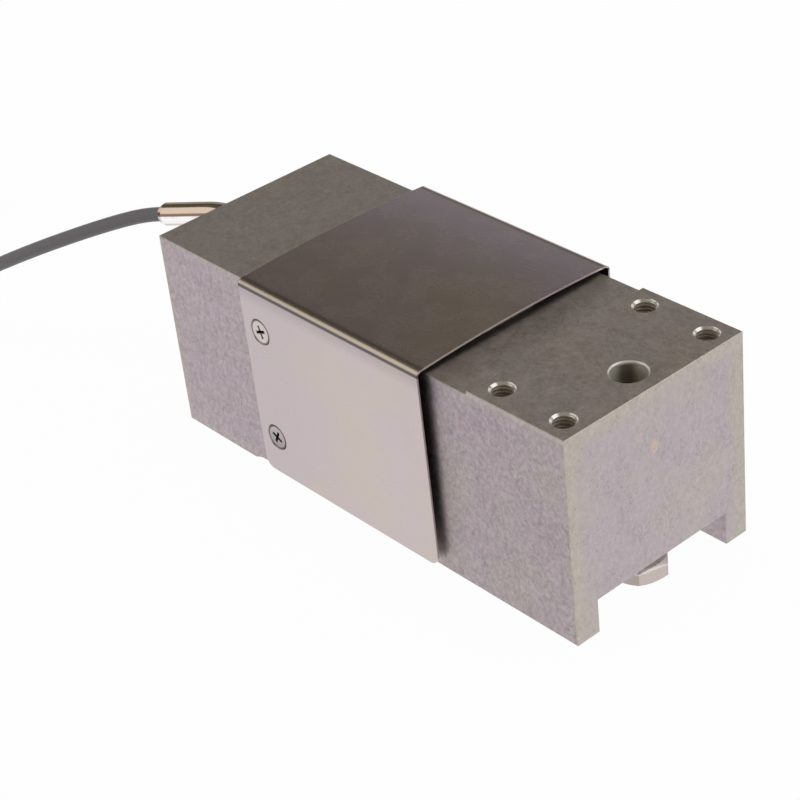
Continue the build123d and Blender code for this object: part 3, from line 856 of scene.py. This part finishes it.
def board_material():
    """Circuit board: green mask over copper tracks, with bare pads."""
    mask_green = rgb(18, 84, 44)
    track_green = rgb(34, 118, 58)
    track_spacing = 3.4
    cross_spacing = 7.0
    material, shader = new_shader("board")
    place = shader.place()
    x, y, _ = shader.split(place)
    track = (y * (2 * math.pi / track_spacing)).math("SINE").ramp(0.72, 0.85)
    cross = (x * (2 * math.pi / cross_spacing)).math("SINE").ramp(0.9, 0.96)
    copper = track.most(cross)
    weave = shader.noise(place, size=0.5, detail=3)
    base = shader.shade(shader.mix(mask_green, track_green, copper), 0.9 + weave * 0.2)
    bump = shader.bump(copper + weave * 0.1, board_track_depth, 0.6)
    shader.surface({"Base Color": base, "Roughness": 0.32, "Normal": bump})
    return material


# Plain metals: colour, roughness, size of the marks and how they are drawn out
metals = {
    "gland_metal": (rgb(205, 196, 184), 0.22, 0.6, (1, 1, 1)),
    "bracket_metal": (rgb(200, 200, 200), 0.35, 0.4, (8, 1, 1)),
    "tinned_wire": (rgb(214, 212, 208), 0.3, 0.25, (4, 4, 1)),
}

# Rubber and plastics: colour, roughness and size of the grain
plastics = {
    "seal_rubber": (rgb(34, 32, 32), 0.75, 0.7),
    "chip": (rgb(30, 30, 32), 0.5, 0.3),
    "fine_wire": (rgb(150, 40, 34), 0.35, 0.4),
    "shrink_sleeve": (rgb(24, 24, 25), 0.4, 0.5),
    "lead_red": (rgb(176, 34, 30), 0.36, 0.4),
    "lead_black": (rgb(22, 22, 23), 0.36, 0.4),
    "lead_green": (rgb(28, 118, 58), 0.36, 0.4),
    "lead_white": (rgb(226, 226, 222), 0.36, 0.4),
    "lead_shield": (rgb(206, 186, 56), 0.36, 0.4),
}

materials = {
    "block_metal": block_material(),
    "cover_metal": cover_material(),
    "screw_metal": screw_material(),
    "bolt_metal": bolt_material(),
    "sleeve_metal": sleeve_material(),
    "cable_jacket": plastic_material(
        "cable_jacket", rgb(116, 113, 119), 0.46, 0.8, depth=jacket_grain_depth
    ),
    "coating": plastic_material("coating", rgb(186, 188, 188), 0.4, 1.6, coat=0.3),
    "tie_nylon": plastic_material("tie_nylon", rgb(214, 212, 204), 0.42, 0.9, coat=0.2),
    "gauge_foil": foil_material(),
    "board": board_material(),
}
materials.update({name: metal_material(name, *look) for name, look in metals.items()})
materials.update({name: plastic_material(name, *look) for name, look in plastics.items()})


def dress_nodes():
    """Give each CAD node the material of its slot."""
    for part in frame["record"]["subparts"]:
        node = frame["nodes"].get(part["node"])
        if node is None:
            continue
        node.data.materials.clear()
        node.data.materials.append(materials[part["material_slot"]])
    cable.data.materials.append(materials["cable_jacket"])
    block.data.materials.clear()
    block.data.materials.append(materials["block_metal"])


def round_cover_edges():
    """Tiny rounding of the sheet's cut edges, so that they catch the light."""
    rounding = frame["nodes"]["cover"].modifiers.new("edges", "BEVEL")
    rounding.width = cut_rounding
    rounding.segments = 2
    rounding.limit_method = "ANGLE"
    rounding.angle_limit = math.radians(cut_angle)
    rounding.harden_normals = True


def make_world():
    """A white band above the horizon under a dark ceiling."""
    ceiling = (0.096, 0.086, 0.064, 1)
    band_end, band_full = 0.40, 0.25
    world = bpy.data.worlds.new("world")
    bpy.context.scene.world = world
    shader = Shader(world)
    up = shader.split(shader.node("TexCoord", output="Generated"))[2]
    colour = shader.mix(ceiling, (1, 1, 1, 1), up.ramp(band_end, band_full))
    background = shader.node("Background", {"Color": colour, "Strength": 1.0})
    shader.node("OutputWorld", {"Surface": background})


def make_floor():
    """Pale floor that stays white in view and in reflections, and still takes a soft shadow."""
    half = 3.0
    paper_colour = (0.92, 0.92, 0.92, 1)
    glow_share = 0.975
    mesh = bpy.data.meshes.new("floor")
    corners = [(-half, -half, 0), (half, -half, 0), (half, half, 0), (-half, half, 0)]
    mesh.from_pydata(corners, [], [(0, 1, 2, 3)])
    floor = bpy.data.objects.new("floor", mesh)
    bpy.context.collection.objects.link(floor)
    material, shader = new_shader("floor")
    paper = shader.node("BsdfDiffuse", {"Color": paper_colour})
    glow = shader.node("Emission", {"Color": (1, 1, 1, 1), "Strength": 1.0})
    seen, mirrored, passed = (
        shader.node("LightPath", output=f"Is {kind} Ray")
        for kind in ("Camera", "Glossy", "Transmission")
    )
    share = seen.most(mirrored).most(passed) * glow_share
    mixed = shader.node("MixShader", {0: share, 1: paper, 2: glow})
    shader.node("OutputMaterial", {"Surface": mixed})
    mesh.materials.append(material)


def make_lamp(name, direction, size, power, colour):
    """Soft box that faces the block."""
    distance_away = 1.6
    data = bpy.data.lights.new(name, "AREA")
    data.shape = "RECTANGLE"
    data.size, data.size_y = size
    data.energy = power
    data.color = colour
    lamp = bpy.data.objects.new(name, data)
    way = Vector(direction).normalized()
    lamp.location = way * distance_away
    lamp.rotation_euler = way.to_track_quat("Z", "Y").to_euler()
    bpy.context.collection.objects.link(lamp)


dress_nodes()
round_cover_edges()
make_world()
make_floor()

# Lamps: direction, size in metres, watts and colour
make_lamp("overhead", (0.0, 0.1, 1.0), (1.0, 0.8), 8.5, (1.0, 0.97, 0.9))
make_lamp("left", (-0.52, -0.58, 0.62), (1.2, 1.0), 2.9, (1.0, 0.96, 0.9))
make_lamp("right", (0.60, 0.47, 0.65), (1.1, 0.9), 4.4, (1.0, 1.0, 1.0))

bpy.context.scene.view_settings.view_transform = "Standard"
